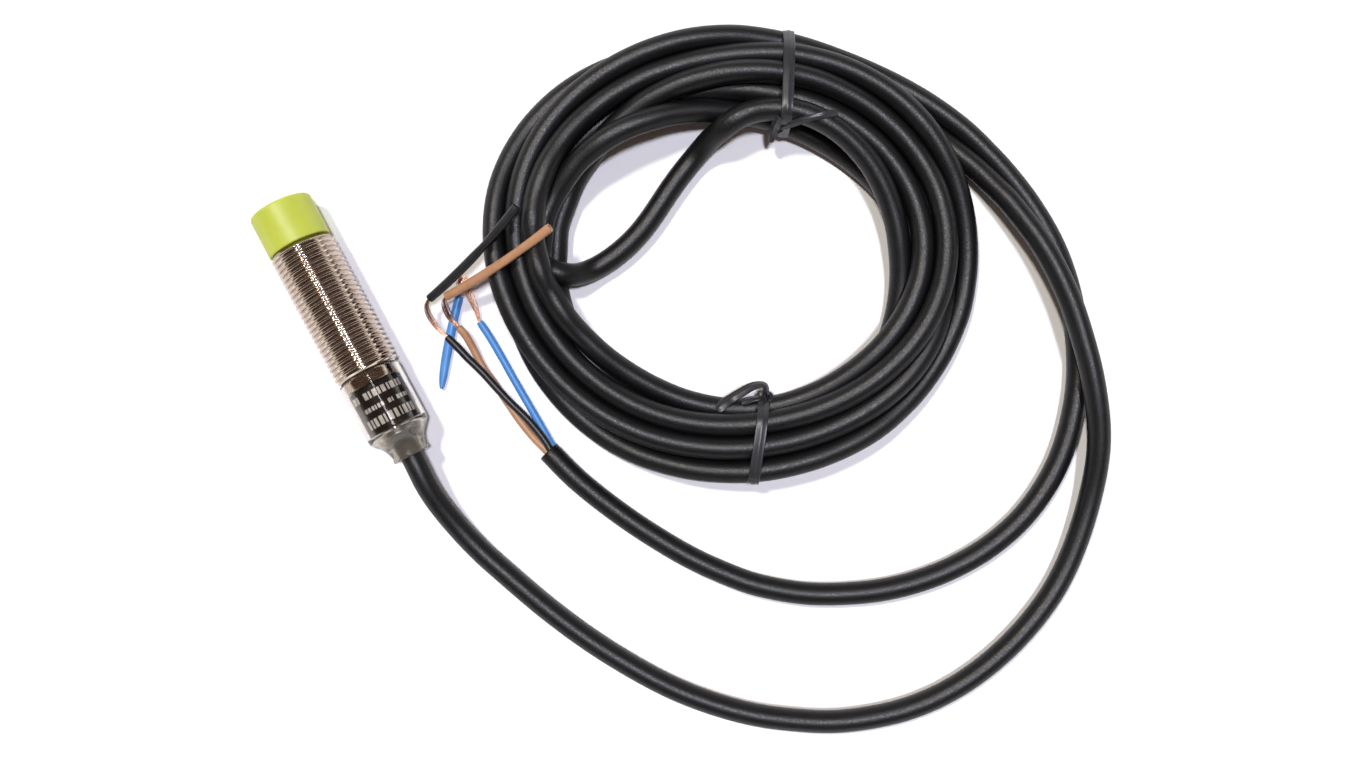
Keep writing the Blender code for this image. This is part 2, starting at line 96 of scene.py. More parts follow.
def sweep(route, profile, scale=None, roll=None):
    # A profile (across, up) carried along the route, at each point scaled and rolled about the route
    _, sideways, up = routeFrames(route)
    scale = 1.0 if scale is None else np.asarray(scale, float).reshape(len(route), -1)
    scale = scale * np.ones((len(route), 2))
    roll = np.zeros(len(route)) if roll is None else np.asarray(roll)
    cos, sin = np.cos(roll)[:, None, None], np.sin(roll)[:, None, None]
    sideways, up = sideways[:, None], up[:, None]
    across, high = profile[None, :, :1] * scale[:, None, :1], profile[None, :, 1:] * scale[:, None, 1:]
    return route[:, None] + (across * cos - high * sin) * sideways + (across * sin + high * cos) * up


def lathe(outline, sides, origin=(0.0, 0.0, axisHeight), direction=(1.0, 0.0, 0.0)):
    # An outline (distance along, radius) turned about a line; the radius may differ around the turn
    direction = unit(direction)
    sideways = unit(np.cross([0.0, 0.0, 1.0], direction))
    up = np.cross(direction, sideways)
    outline = np.asarray(outline, float)
    radius = outline[:, 1:] if outline.ndim == 2 else outline[..., 1]
    distance = outline[:, 0] if outline.ndim == 2 else outline[:, 0, 0]
    ring = circle(sides)
    return (np.asarray(origin, float) + distance[:, None, None] * direction
            + (radius * ring[:, 0])[..., None] * sideways + (radius * ring[:, 1])[..., None] * up)


def roundCorners(points, reach, steps=4):
    # Each corner of a closed outline becomes a quadratic curve from the side before to the side after
    points = np.asarray(points, float)
    before, after = np.roll(points, 1, 0) - points, np.roll(points, -1, 0) - points
    longBefore, longAfter = (np.linalg.norm(v, axis=1, keepdims=True) for v in (before, after))
    start = points + before * np.minimum(reach / longBefore, 0.45)
    end = points + after * np.minimum(reach / longAfter, 0.45)
    t = np.linspace(0.0, 1.0, steps + 1)[None, :, None]
    curve = (1 - t) ** 2 * start[:, None] + 2 * t * (1 - t) * points[:, None] + t ** 2 * end[:, None]
    return curve.reshape(-1, points.shape[1])


def skin(grid, ends="capped"):
    # Quads over stations by points around. Ends are fans to their middle, or joined to each other
    count, around = grid.shape[:2]
    here = np.arange(count * around).reshape(count, around)
    there = np.roll(here, -1, axis=0)
    if ends == "capped":
        here, there = here[:-1], here[1:]
    corners = np.stack([here, there, np.roll(there, -1, 1), np.roll(here, -1, 1)], axis=-1).reshape(-1, 4)
    points = grid.reshape(-1, 3)
    triangles = np.vstack([corners[:, [0, 1, 2]], corners[:, [0, 2, 3]]])
    faces = corners.tolist()
    if ends == "capped":
        hubs = len(points)
        points = np.vstack([points, grid[0].mean(axis=0), grid[-1].mean(axis=0)])
        first, last = np.arange(around), (count - 1) * around + np.arange(around)
        fans = np.vstack([np.stack([np.full(around, hubs), first, np.roll(first, -1)], axis=1),
                          np.stack([np.full(around, hubs + 1), np.roll(last, -1), last], axis=1)])
        triangles = np.vstack([triangles, fans])
        faces += fans.tolist()
    a, b, c = (points[triangles[:, k]] - points.mean(axis=0) for k in range(3))
    if np.einsum("ij,ij->i", a, np.cross(b, c)).sum() < 0:  # the volume tells which way the faces look
        faces = [face[::-1] for face in faces]
    return points, faces


def makePiece(name, skins, finish, body, replaced=(), sharp=40):
    # Closed skins, in mm, joined into one object with its finish, its body and the nodes that it stands for
    points, faces, offset = [], [], 0
    for skinPoints, skinFaces in skins:
        points.append(skinPoints)
        faces += [[corner + offset for corner in face] for face in skinFaces]
        offset += len(skinPoints)
    mesh = bpy.data.meshes.new(name)
    mesh.from_pydata((np.vstack(points) * mm).tolist(), [], faces)
    mesh.materials.append(finish)
    mesh.shade_smooth()
    mesh.set_sharp_from_angle(angle=math.radians(sharp))
    piece = bpy.data.objects.new(name, mesh)
    bpy.context.scene.collection.objects.link(piece)
    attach(piece, body)
    if replaced:
        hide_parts(*replaced)
    return piece


# Finishes
def makeFinish(name, facts):
    # Two close colours in soft blotches, and a fine grain in roughness and height. Sizes are in mm
    finish = bpy.data.materials.new(name)
    finish.use_nodes = True
    tree = finish.node_tree
    shader = tree.nodes["Principled BSDF"]
    place = addNode(tree, "ShaderNodeMapping", {"Scale": (1 / mm,) * 3},
                    {"Vector": addNode(tree, "ShaderNodeTexCoord").outputs["Object"]}).outputs["Vector"]
    if "stretch" in facts:
        stretched = addNode(tree, "ShaderNodeMapping", {"Scale": facts["stretch"]}, {"Vector": place})
        place = stretched.outputs["Vector"]
    blotch = addNode(tree, "ShaderNodeTexNoise",
                     {"Scale": 1 / facts["blotch"], "Detail": 3.0, "Roughness": 0.55}, {"Vector": place})
    grain = addNode(tree, "ShaderNodeTexNoise",
                    {"Scale": 1 / facts["grain"], "Detail": 2.0, "Roughness": 0.6}, {"Vector": place})
    span = {"From Min": 0.3, "From Max": 0.7}  # where most of a noise's values lie
    colours = addNode(tree, "ShaderNodeMapRange", span, {"Value": blotch.outputs["Fac"]})
    mix = addNode(tree, "ShaderNodeMix", {6: linearColour(facts["colour"]), 7: linearColour(facts["other"])},
                  {0: colours.outputs["Result"]}, data_type="RGBA")
    tree.links.new(mix.outputs[2], shader.inputs["Base Color"])
    low, high = facts["rough"]
    rough = addNode(tree, "ShaderNodeMapRange", {**span, "To Min": low, "To Max": high},
                    {"Value": grain.outputs["Fac"]})
    tree.links.new(rough.outputs["Result"], shader.inputs["Roughness"])
    bump = addNode(tree, "ShaderNodeBump",
                   {"Strength": facts.get("strength", 0.5), "Distance": facts["depth"] * mm},
                   {"Height": grain.outputs["Fac"]})
    tree.links.new(bump.outputs["Normal"], shader.inputs["Normal"])
    if "rear" in facts:  # behind a place on the axis the colour and the clearness change
        rear = facts["rear"]
        along = addNode(tree, "ShaderNodeSeparateXYZ", None, {"Vector": place}).outputs["X"]
        share = addNode(tree, "ShaderNodeMapRange", {"From Min": rear["from"], "From Max": rear["to"]},
                        {"Value": along}).outputs["Result"]
        rearMix = addNode(tree, "ShaderNodeMix", {7: linearColour(rear["colour"])},
                          {0: share, 6: mix.outputs[2]}, data_type="RGBA")
        tree.links.new(rearMix.outputs[2], shader.inputs["Base Color"])
        clear = addNode(tree, "ShaderNodeMapRange", {"To Min": 1.0, "To Max": rear["clear"]},
                        {"Value": share})
        tree.links.new(clear.outputs["Result"], shader.inputs["Transmission Weight"])
    for socket, value in facts.get("shader", {}).items():
        shader.inputs[socket].default_value = value
    return finish


finishFacts = {
    # moulded PBT: opaque yellow green, even satin skin with a faint pearl grain
    "pbtCap": {"colour": "#BDC84D", "other": "#B4BF44", "blotch": 5.0, "grain": 0.12, "depth": 0.01,
               "rough": (0.38, 0.48),
               "shader": {"IOR": 1.5, "Subsurface Weight": 0.05, "Subsurface Scale": 0.0006}},
    # machined brass under bright nickel: warm grey metal, lathe marks run around it
    "nickelBrass": {"colour": "#D2C9BF", "other": "#B7A595", "blotch": 2.0, "grain": 0.16, "depth": 0.0012,
                    "rough": (0.07, 0.13), "stretch": (7.0, 1.0, 1.0), "shader": {"Metallic": 1.0}},
    # moulded polyamide: clear with a grey smoke, wet gloss, slight sink marks
    "smokedCover": {"colour": "#F1EEE8", "other": "#E8E3DA", "blotch": 3.0, "grain": 0.9, "depth": 0.02,
                    "rough": (0.02, 0.05), "strength": 0.25,
                    "rear": {"from": -20.0, "to": -21.6, "colour": "#B3AD9F", "clear": 0.86},
                    "shader": {"IOR": 1.52, "Transmission Weight": 1.0}},
    # printed film: black ink, slightly soft, with pinholes
    "labelFilm": {"colour": "#0F0E11", "other": "#161518", "blotch": 1.6, "grain": 0.1, "depth": 0.004,
                  "rough": (0.3, 0.42), "shader": {"IOR": 1.5}},
    "labelInk": {"colour": "#F8F8F9", "other": "#EEEEF0", "blotch": 0.5, "grain": 0.08, "depth": 0.004,
                 "rough": (0.4, 0.55), "shader": {"IOR": 1.5}},
    # extruded PVC jacket: near black, satin, with a fine sandy grain that breaks up the highlight
    "pvcJacket": {"colour": "#08090B", "other": "#0C0D0F", "blotch": 6.0, "grain": 0.3, "depth": 0.05,
                  "rough": (0.33, 0.52), "strength": 0.8, "shader": {"IOR": 1.45}},
    # extruded PVC insulation: smooth, slightly waxy
    "pvcBrown": {"colour": "#B98D6B", "other": "#AD7F5B", "blotch": 1.8, "grain": 0.16, "depth": 0.012,
                 "rough": (0.34, 0.46), "shader": {"IOR": 1.5}},
    "pvcBlue": {"colour": "#4C8DD2", "other": "#4182C6", "blotch": 1.8, "grain": 0.16, "depth": 0.012,
                "rough": (0.34, 0.46), "shader": {"IOR": 1.5}},
    "pvcBlack": {"colour": "#15161A", "other": "#1D1E22", "blotch": 1.8, "grain": 0.16, "depth": 0.012,
                 "rough": (0.34, 0.46), "shader": {"IOR": 1.5}},
    # drawn bare copper, a little dulled
    "copperWire": {"colour": "#E4BFA6", "other": "#A2684A", "blotch": 0.35, "grain": 0.1, "depth": 0.003,
                   "rough": (0.22, 0.36), "shader": {"Metallic": 1.0}},
    # pressed and fired ferrite: dull dark grey, gritty
    "ferriteCore": {"colour": "#35363A", "other": "#2A2B2E", "blotch": 0.9, "grain": 0.09, "depth": 0.02,
                    "rough": (0.6, 0.8)},
    # moulded nylon: milky, soft gloss
    "nylonBobbin": {"colour": "#E6E1D3", "other": "#DAD4C4", "blotch": 1.2, "grain": 0.15, "depth": 0.008,
                    "rough": (0.4, 0.5), "shader": {"Subsurface Weight": 0.15, "Subsurface Scale": 0.0004}},
    # glass epoxy with green solder mask: the weave shows as a fine relief
    "boardLaminate": {"colour": "#1F6A3C", "other": "#185A31", "blotch": 1.5, "grain": 0.35, "depth": 0.01,
                      "rough": (0.25, 0.4)},
    # moulded epoxy packages: black, matt, sparkly filler
    "chipEpoxy": {"colour": "#26262A", "other": "#1F1F22", "blotch": 0.8, "grain": 0.06, "depth": 0.01,
                  "rough": (0.5, 0.65)},
    # fired ceramic capacitors: tan, eggshell
    "firedCeramic": {"colour": "#B59674", "other": "#A88762", "blotch": 0.6, "grain": 0.08, "depth": 0.006,
                     "rough": (0.4, 0.55)},
    # clear red epoxy lens
    "ledLens": {"colour": "#C8241C", "other": "#B51C16", "blotch": 0.6, "grain": 0.2, "depth": 0.004,
                "rough": (0.1, 0.2), "shader": {"Transmission Weight": 0.5, "IOR": 1.5}},
    # poured resin: olive brown, glossy, cloudy inside
    "pottingResin": {"colour": "#6E6247", "other": "#4F4634", "blotch": 1.4, "grain": 0.3, "depth": 0.02,
                     "rough": (0.12, 0.25)},
    # pressed steel with zinc: grey with spangle
    "zincSteel": {"colour": "#B6B8B8", "other": "#8F9294", "blotch": 0.7, "grain": 0.12, "depth": 0.006,
                  "rough": (0.25, 0.4), "shader": {"Metallic": 1.0}},
    # extruded twist tie: black polyethylene over a wire, waxy
    "tiePlastic": {"colour": "#242529", "other": "#2F3034", "blotch": 2.0, "grain": 0.14, "depth": 0.02,
                   "rough": (0.3, 0.42), "shader": {"IOR": 1.51}},
}
finishes = {name: makeFinish(name, facts) for name, facts in finishFacts.items()}

# The CAD nodes that stay keep their own shape and take the finish of their slot
slotFinish = {
    "ferrite": "ferriteCore", "bobbin_nylon": "nylonBobbin", "copper": "copperWire",
    "board_laminate": "boardLaminate", "chip_epoxy": "chipEpoxy", "ceramic": "firedCeramic",
    "led_lens": "ledLens", "potting_resin": "pottingResin", "zinc_steel": "zincSteel",
    "pvc_brown": "pvcBrown", "pvc_blue": "pvcBlue", "pvc_black": "pvcBlack", "pvc_jacket": "pvcJacket",
    "cap_plastic": "pbtCap", "nickel_brass": "nickelBrass", "clear_cover": "smokedCover",
    "label_film": "labelFilm", "tie_plastic": "tiePlastic",
}
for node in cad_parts.values():
    for place in node.material_slots:
        place.material = finishes[slotFinish[place.material.name.split(".")[0]]]
print("finishes made")

# Camera
view = {"place": (-36.94, -49.10, 240.0), "turn": -118.03, "focal": 34.1, "filmWidth": 36.0}
cameraData = bpy.data.cameras.new("camera")
cameraData.lens, cameraData.sensor_width, cameraData.clip_start = view["focal"], view["filmWidth"], 0.01
camera = bpy.data.objects.new("camera", cameraData)
camera.location = np.array(view["place"]) * mm
camera.rotation_euler = (0.0, 0.0, math.radians(view["turn"]))
bpy.context.scene.collection.objects.link(camera)
bpy.context.scene.camera = camera

# The lead: two tails, a coil of six and a half turns, and the loop inside it
lead = {
    "radius": 2.1,
    "length": 2.0,  # metres
    "exit": (-25.6, 0.0, 5.94),
    "step": 2.0,
    "centre": (-21.6, -67.8),
    "zeroAngle": -118.0,  # where the lanes' angles count from
    "fixedFirst": 226.0,  # mm of the first tail that keeps its route
    "fixedLast": 176.0,
    "tailFromSensor": [
        (-22.8, 0, 5.95), (-25.25, 0, 5.95), (-28.2, .1, 5.9), (-31.8, .3, 5.3), (-36, .1, 4.1),
        (-41.1, -.7, 2.9), (-46, -1.9, 2.25), (-50.4, -3.4, 2.1), (-63, -8.4, 2.1), (-74.7, -14.3, 2.1),
        (-86.3, -21.9, 2.1), (-95.7, -30.7, 2.1), (-102.2, -39.5, 2.1), (-106.5, -47.6, 2.1),
        (-109.6, -58, 2.1), (-110.2, -68.2, 2.1), (-108.5, -78.7, 2.1), (-104.7, -88.9, 2.1),
        (-99.4, -97.2, 2.2), (-91.2, -105.5, 3), (-82.2, -111.6, 5), (-72, -115.4, 6.4),
        (-61.4, -117.9, 6.6), (-53.9, -118.9, 6.5), (-45.8, -119, 6.2), (-37.6, -118, 5.4),
        (-30.5, -116.5, 5)],
    # angle in degrees, radius and height in mm, counter-clockwise from the first tail
    "outerLanes": [
        (26, 46.5, 4.8), (40, 43, 3), (55, 38.5, 2.1), (70, 36.5, 2.1), (90, 36.5, 2.1), (105, 39, 2.1),
        (120, 42, 2.1), (135, 44.5, 2.1), (150, 45, 2.1), (165, 44.5, 3), (180, 42.5, 5),
        (195, 40.5, 5.7), (210, 38.5, 5.7), (240, 35.5, 5.7), (270, 33.5, 5.7), (300, 35, 5.7),
        (330, 38.5, 5.7), (345, 40, 4.5), (360, 39.5, 2.1), (390, 38, 2.1), (420, 33.5, 2.1),
        (450, 34, 2.1), (480, 38, 2.1), (510, 41, 2.1), (540, 41, 2.1), (570, 40, 2.1), (600, 39, 3),
        (630, 37.5, 5.5), (660, 39, 5.5), (690, 42, 3.5), (705, 43, 2.4), (720, 43.5, 2.4),
        (735, 44, 4.5), (750, 44, 6.2), (765, 42.5, 6.3), (780, 40.5, 6.2), (810, 37, 6), (840, 37, 5.7),
        (870, 38, 5.7), (900, 35, 5.7), (930, 29.5, 5), (945, 28, 3.2), (960, 27, 2.1), (990, 27.5, 2.1),
        (1020, 29, 2.1), (1050, 32, 4), (1080, 36, 5.7), (1110, 35, 5.7), (1140, 33, 5), (1155, 32, 3.5),
        (1170, 31.5, 2.1), (1200, 34, 2.1), (1230, 37, 2.1), (1260, 36.5, 2.1), (1290, 36, 2.1),
        (1320, 35, 2.1), (1350, 35, 2.1), (1380, 37, 2.1), (1410, 38, 2.1), (1440, 35.5, 2.1),
        (1455, 33, 2.1), (1470, 30.5, 2.1), (1485, 28.5, 2.1), (1500, 27.5, 2.1), (1530, 28, 2.6),
        (1545, 28.5, 4), (1560, 30, 5), (1575, 32, 5.7), (1590, 33.5, 5.4)],
    "innerLoop": [
        (1.5, -40.9, 4.2), (-1.9, -37.6, 3.2), (-5.5, -36.4, 2.4), (-8.7, -38.0, 2.1),
        (-10.3, -41.0, 2.1), (-10.9, -44.4, 2.1), (-10.7, -48.1, 2.1), (-10, -52.3, 2.1),
        (-8.6, -56.6, 2.1), (-6.5, -60.6, 2.1), (-4.3, -64.2, 2.1), (-2.3, -68.5, 2.1),
        (-1.3, -71.4, 2.4), (0.1, -74.5, 3.2), (1.1, -77.5, 4.2), (1.6, -80.6, 5.2)],
    # back out, clockwise
    "innerLanes": [
        (83, 28, 5.8), (75, 29.4, 6), (61, 30.3, 6), (45, 31, 5.9), (30, 31, 5.6), (15, 31.5, 4),
        (0, 31.5, 2.3), (-30, 33.5, 2.1), (-60, 32.5, 2.1), (-90, 31.5, 2.1), (-120, 31, 2.1),
        (-150, 33, 2.1), (-180, 34, 2.1), (-210, 33.5, 2.1), (-225, 33.5, 3), (-240, 33, 5),
        (-255, 33, 5.7), (-270, 33, 5.7), (-300, 36.5, 5.8), (-330, 39.5, 5.8), (-360, 40, 5.7),
        (-390, 35, 5.7), (-420, 31, 5.7), (-450, 30, 5.7), (-480, 31.5, 5.7), (-510, 34, 5.7),
        (-540, 39, 5.9), (-555, 40.5, 5.9), (-570, 42, 5.9), (-585, 41.5, 5.9), (-600, 41, 5.9),
        (-615, 40.5, 5), (-630, 40, 3.5), (-645, 40, 2.3), (-660, 41.5, 2.1), (-670, 43.5, 2.1)],
    "tailToWires": [
        (-12.6, -112.9, 2.1), (-17.5, -115.6, 2.1), (-25.1, -118.9, 2.1), (-33, -120.9, 2.1),
        (-40.7, -121.9, 2.1), (-47.9, -121.9, 2.1), (-55.3, -120.7, 2.1), (-62.4, -118.4, 2.1),
        (-69.2, -115.2, 2.1), (-74.6, -111.6, 2.1), (-80.2, -106.6, 2.1), (-84.6, -101, 2.1),
        (-88.1, -94.1, 2.1), (-90, -87.1, 2.1), (-90.6, -80.1, 2.1), (-90.1, -72.9, 2.1),
        (-88.5, -65.6, 2.1), (-85.8, -58.6, 2.1), (-81.9, -51.3, 2.1), (-76.6, -44.5, 2.1),
        (-71.7, -40, 2.1), (-65.9, -35.6, 2.1), (-58.7, -31.2, 2.1), (-51.4, -27.4, 2.1),
        (-43.5, -24, 2.1), (-36.6, -21.9, 2.1)],
}
ties = {  # where a band's middle is, and the way it runs in plan, in degrees
    "top": {"spot": (2.8, -92.2), "way": -31.0},
    "bottom": {"spot": (-52.7, -56.9), "way": 144.0},
    "lift": 0.62, "reach": 13.0, "fade": 7.0,  # mm that a strand rises over a band, and how far along it
}
settle = {  # how strongly each small move acts
    "rounds": 420, "regroup": 8,  # rounds in all, and between two searches for close strands
    "corner": 0.055, "wave": 0.05,  # against a corner at one point, and a wave over four
    "home": 0.03, "weight": 0.02,  # back to the lanes, and down
    "apart": 1.4, "axes": (0.6, 0.6, 1.3),  # strands that touch move apart, more upwards than sideways
    "under": 0.7, "gap": 0.12,  # down below a slug, with this gap to it
}
slugs = {  # the insulation that is pulled half off each core: strands' end, free end
    "black": ((-1.8, -16.1, 5.4), (4.4, -38.3, 11.8)),
    "brown": ((-2.9, -19.0, 5.6), (-1.8, -41.9, 12.9)),
    "blue": ((-3.3, -20.6, 0.85), (-16.9, -9.6, 0.85)),
}
slugSize = {"radius": 0.82, "bore": 0.5}


def lanePoints(lanes):
    # Polar lanes about the coil's centre, every 4 degrees, each radius and height averaged with the next ones
    angle, radius, height = np.array(lanes, float).T
    order = np.sign(angle[-1] - angle[0])
    marks = np.linspace(angle[0], angle[-1], int(abs(angle[-1] - angle[0]) / 4) + 1)
    rows = np.stack([np.interp(marks * order, angle * order, values) for values in (radius, height)], axis=1)
    for _ in range(8):
        rows[1:-1] = (rows[:-2] + 2 * rows[1:-1] + rows[2:]) / 4
    turn = np.radians(marks + lead["zeroAngle"])
    return np.stack([lead["centre"][0] + rows[:, 0] * np.cos(turn),
                     lead["centre"][1] + rows[:, 0] * np.sin(turn), rows[:, 1]], axis=1)


def tieDirection(name):  # the unit vector of a tie's way in plan
    turn = math.radians(ties[name]["way"])
    return np.array([math.cos(turn), math.sin(turn)])


def stiffness(route, stride):  # the fourth difference over a stride
    curve, bend = np.zeros_like(route), np.zeros_like(route)
    curve[stride:-stride] = route[:-2 * stride] - 2 * route[stride:-stride] + route[2 * stride:]
    bend[2 * stride:-2 * stride] = (curve[stride:-3 * stride] - 2 * curve[2 * stride:-2 * stride]
                                    + curve[3 * stride:-stride])
    return bend


def settleLead():
    # The listed route, then many small moves: an even step, no sharp bend, strands a diameter apart, nothing
    # under the table, and a weak pull back to the lanes
    parts = [np.array(lead["tailFromSensor"], float), lanePoints(lead["outerLanes"]),
             np.array(lead["innerLoop"], float), lanePoints(lead["innerLanes"]),
             np.array(lead["tailToWires"], float)]
    route = smoothRoute(np.vstack(parts), lead["step"])
    total = np.linalg.norm(np.diff(route, axis=0), axis=1).sum()
    step, count, width = total / (len(route) - 1), len(route), 2 * lead["radius"]
    first, last = int(lead["fixedFirst"] / step), count - int(lead["fixedLast"] / step)
    index = np.arange(count)
    free = np.interp(index, [first, first + 10, last - 10, last], [0, 1, 1, 0])[:, None]
    loopStart, loopEnd = (np.linalg.norm(route - parts[2][k], axis=1).argmin() for k in (0, -1))
    marks = [loopStart - 14, loopStart - 4, loopEnd, loopEnd + 10]
    calm = free * np.interp(index, marks, [1, 0, 0, 1])[:, None]  # the inner loop keeps its own bends
    for _ in range(4):  # take the corners out of the joins
        route[1:-1] += 0.5 * free[1:-1] * ((route[:-2] + route[2:]) / 2 - route[1:-1])
    lanes = route[:, :2].copy()
    rods = [np.linspace(slugs[name][0], slugs[name][1], 33) for name in ("black", "brown")]
    rods, rodGap = np.vstack(rods), lead["radius"] + slugSize["radius"] + settle["gap"]
    for turn in range(settle["rounds"]):
        if turn % settle["regroup"] == 0:
            gaps = np.linalg.norm(route[:, None] - route[None], axis=2)
            one, two = np.where(np.triu(gaps < width + 2.5, 5))
        route = (route - settle["corner"] * stiffness(route, 1) * free
                 - settle["wave"] * stiffness(route, 4) * calm)
        route[:, :2] += settle["home"] * free * (lanes - route[:, :2])
        route[:, 2] -= settle["weight"] * free[:, 0]
        for _ in range(2):
            apart = route[one] - route[two]
            distance = np.linalg.norm(apart, axis=1)
            overlap = np.clip(width - distance, 0.0, None)
            push = apart * (0.5 * overlap / np.maximum(distance, 1e-6))[:, None] * settle["axes"]
            moved, hits = np.zeros_like(route), np.zeros(count)
            np.add.at(moved, one, push)
            np.add.at(moved, two, -push)
            np.add.at(hits, one, overlap > 0)
            np.add.at(hits, two, overlap > 0)
            route += settle["apart"] * free * moved / np.maximum(hits, 1)[:, None]
            distance = np.linalg.norm(route[:, None, :2] - rods[None, :, :2], axis=2)
            reach = np.sqrt(np.clip(rodGap ** 2 - distance ** 2, 0.0, None))
            ceiling = np.where(reach > 0, rods[None, :, 2] - reach, 99.0).min(axis=1)
            route[:, 2] -= free[:, 0] * settle["under"] * np.clip(route[:, 2] - ceiling, 0.0, None)
            floor = np.full(count, lead["radius"])
            for name in ("top", "bottom"):  # a tie passes under the strands
                direction = tieDirection(name)
                spot = route[:, :2] - ties[name]["spot"]
                across = spot @ np.array([-direction[1], direction[0]])
                inside = np.abs(spot @ direction) < ties["reach"]
                floor += ties["lift"] * np.exp(-(across / ties["fade"]) ** 2) * inside
            route[:, 2] = np.maximum(route[:, 2], np.where(free[:, 0] > 0, floor, lead["radius"]))
        for start in (0, 1):
            pair = np.arange(start, count - 1, 2)
            link = route[pair + 1] - route[pair]
            distance = np.linalg.norm(link, axis=1)
            change = link * (0.5 * (distance - step) / distance)[:, None]
            route[pair] += change * free[pair]
            route[pair + 1] -= change * free[pair + 1]
    return route


leadRoute = settleLead()
measured = np.linalg.norm(np.diff(leadRoute, axis=0), axis=1)
ways = unit(np.diff(leadRoute, axis=0))
turnAngles = np.arccos(np.clip((ways[1:] * ways[:-1]).sum(axis=1), -1, 1))
print("lead settled, mm:", round(measured.sum(), 1), "highest:", round(float(leadRoute[:, 2].max()), 2),
      "tightest bend:", round(float((lead["step"] / turnAngles).min()), 2))

# The cut end of the jacket is a shallow cup that the cores come out of
fineRoute = smoothRoute(leadRoute, 1.6)
endPoint, endWay = fineRoute[-1], unit(fineRoute[-1] - fineRoute[-2])
cup = [(0.0, 2.08), (0.12, 1.98), (0.15, 1.75), (0.05, 1.62), (-1.2, 1.6)]
leadGrid = sweep(fineRoute, circle(24) * lead["radius"])
cupGrid = lathe(cup, 24, endPoint, endWay)
leadPiece = makePiece("lead", [skin(np.concatenate([leadGrid[:-1], cupGrid]))], finishes["pvcJacket"],
                      "sensor",
                      ["cable_tail_sensor", "cable_coil", "cable_inner_loop", "cable_tail_wires"])
print("lead made")

# The sensor's body
body = {"faceX": 25.6, "threadFront": 17.45, "threadRear": -8.75, "coverRear": -20.35, "exitX": -25.6,
        "pitch": 1.0, "crest": 5.95, "root": 5.42, "bore": 4.4, "spigot": 4.95, "spigotRear": -10.9,
        "perTurn": 12, "around": 120}


def threadedShell():
    # Radius = root + depth * ridge(x / pitch - angle), a rounded trapezoid, cut back to a cone at both ends
    length = body["threadFront"] - body["threadRear"]
    stations = int(length / body["pitch"] * body["perTurn"]) + 1
    x = np.linspace(body["threadFront"], body["threadRear"], stations)
    angle = np.arange(body["around"]) / body["around"]
    wave = (x[:, None] / body["pitch"] - angle[None]) % 1.0
    ridge = np.clip(1.55 - 3.4 * np.abs(wave - 0.5), 0.0, 1.0)
    ridge = ridge * ridge * (3 - 2 * ridge)
    edge = np.minimum(x - body["threadRear"], body["threadFront"] - x)[:, None]
    radius = np.minimum(body["root"] + (body["crest"] - body["root"]) * ridge, 5.3 + 0.9 * edge)
    outer = np.stack([np.broadcast_to(x[:, None], radius.shape), radius], axis=-1)
    rear, front, spigotRear = body["threadRear"], body["threadFront"], body["spigotRear"]
    inner = [(rear, 5.1), (rear - 0.05, 4.97), (spigotRear + 0.2, body["spigot"]), (spigotRear, 4.8),
             (spigotRear, 4.5), (spigotRear + 0.1, body["bore"]), (front - 0.1, body["bore"]),
             (front, 4.5), (front, 5.15)]
    inner = np.broadcast_to(np.array(inner)[:, None], (len(inner), body["around"], 2))
    return np.concatenate([outer, inner])


makePiece("threadedBarrel", [skin(lathe(threadedShell(), body["around"]), "joined")], finishes["nickelBrass"],
          "sensor", ["threaded_barrel"], sharp=60)

shoulder = body["threadFront"] + 0.12
faceX = body["faceX"]
capOutline = roundCorners([
    (faceX, 0.4), (faceX, 5.5), (faceX - 0.4, 5.84), (shoulder + 0.3, 5.87), (shoulder, 5.78),
    (shoulder, 4.25), (12.4, 4.25), (12.25, 4.1), (12.25, 3.85), (faceX - 1, 3.85), (faceX - 1, 0.4)], 0.12)
capOutline = capOutline[5:-5]  # the two points near the axis stay sharp
makePiece("sensingCup", [skin(lathe(np.vstack([[(faceX, 0.4)], capOutline, [(faceX - 1, 0.4)]]), 96))],
          finishes["pbtCap"], "sensor", ["sensing_cap"], sharp=50)

mouth, coverRear, exitX = body["threadRear"] - 0.12, body["coverRear"], body["exitX"]
coverOutline = roundCorners([
    (mouth, 5.12), (mouth, 5.7), (mouth - 0.12, 5.8), (coverRear + 0.1, 5.82), (coverRear - 0.35, 5.66),
    (coverRear - 1.1, 5.05), (coverRear - 1.8, 4.35), (coverRear - 2.6, 3.78), (coverRear - 3.6, 3.42),
    (exitX + 0.85, 3.28), (exitX + 0.7, 3.42), (exitX + 0.12, 3.45), (exitX, 3.32), (exitX, 2.35),
    (coverRear - 2.6, 2.35), (coverRear - 1.2, 3.7), (coverRear + 0.4, 4.6), (coverRear + 0.4, 5.12)], 0.5, 5)
makePiece("rearCover", [skin(lathe(coverOutline, 96), "joined")], finishes["smokedCover"], "sensor",
          ["rear_cover"], sharp=60)
sleeve = roundCorners([(-11.2, 4.75), (-11.2, 5.04), (-19.65, 5.04), (-19.65, 4.75)], 0.08, 3)
makePiece("labelSleeve", [skin(lathe(sleeve, 96), "joined")], finishes["labelFilm"], "sensor",
          ["label_sleeve"])
innerEnd = [(-17.6, 1.7), (-17.6, 2.0), (-17.7, 2.1), (-22.6, 2.1)]
makePiece("jacketInBoot", [skin(lathe(innerEnd, 40))], finishes["pvcJacket"], "sensor",
          ["jacket_inner_end"])

